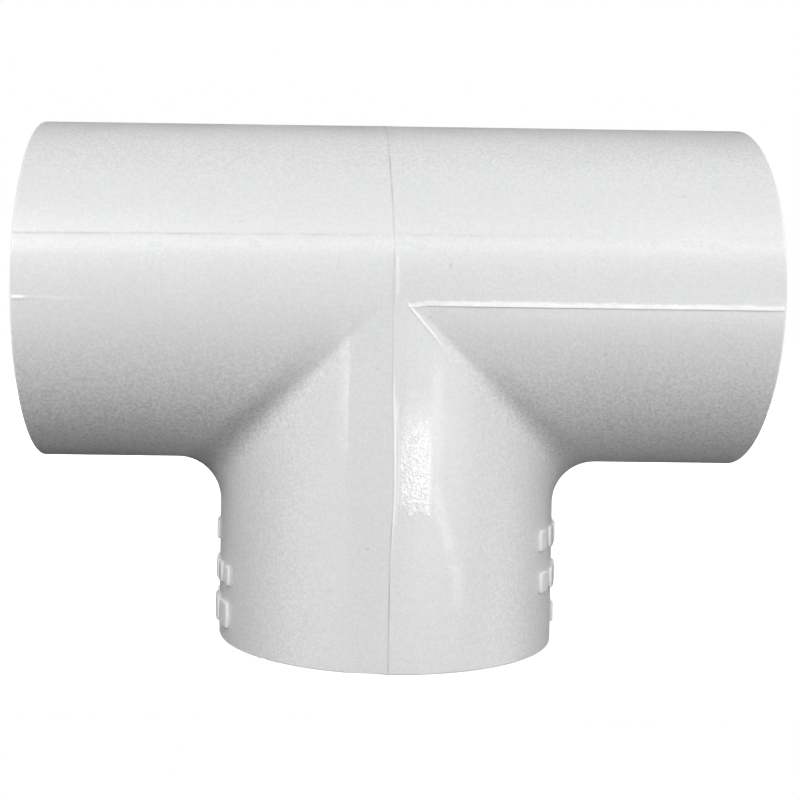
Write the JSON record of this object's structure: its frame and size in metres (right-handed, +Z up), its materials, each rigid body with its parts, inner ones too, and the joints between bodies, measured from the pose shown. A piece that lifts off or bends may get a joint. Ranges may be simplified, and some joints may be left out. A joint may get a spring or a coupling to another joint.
{
  "type": "pvc tee fitting",
  "caption": "White PVC tee for 3/4 in pipe: a straight run and a branch at 90 degrees, each ending in a plain slip socket.",
  "frame": {"origin": "centre of the branch's mouth, on the plane of its rim, where the tee stands", "axes": "+X along the run towards the right-hand socket, +Y away from the front, +Z up, so the branch points along -Z"},
  "size_m": [0.0686, 0.0336, 0.0511],
  "materials": {
    "white_pvc": "injection-moulded, satin gloss"
  },
  "bodies": {
    "root": {"centre_body": "white_pvc", "left_socket": "white_pvc", "right_socket": "white_pvc", "branch_socket": "white_pvc", "left_marks": "white_pvc", "right_marks": "white_pvc", "mould_seam": "white_pvc", "front_ledge": "white_pvc"}
  },
  "joints": []
}
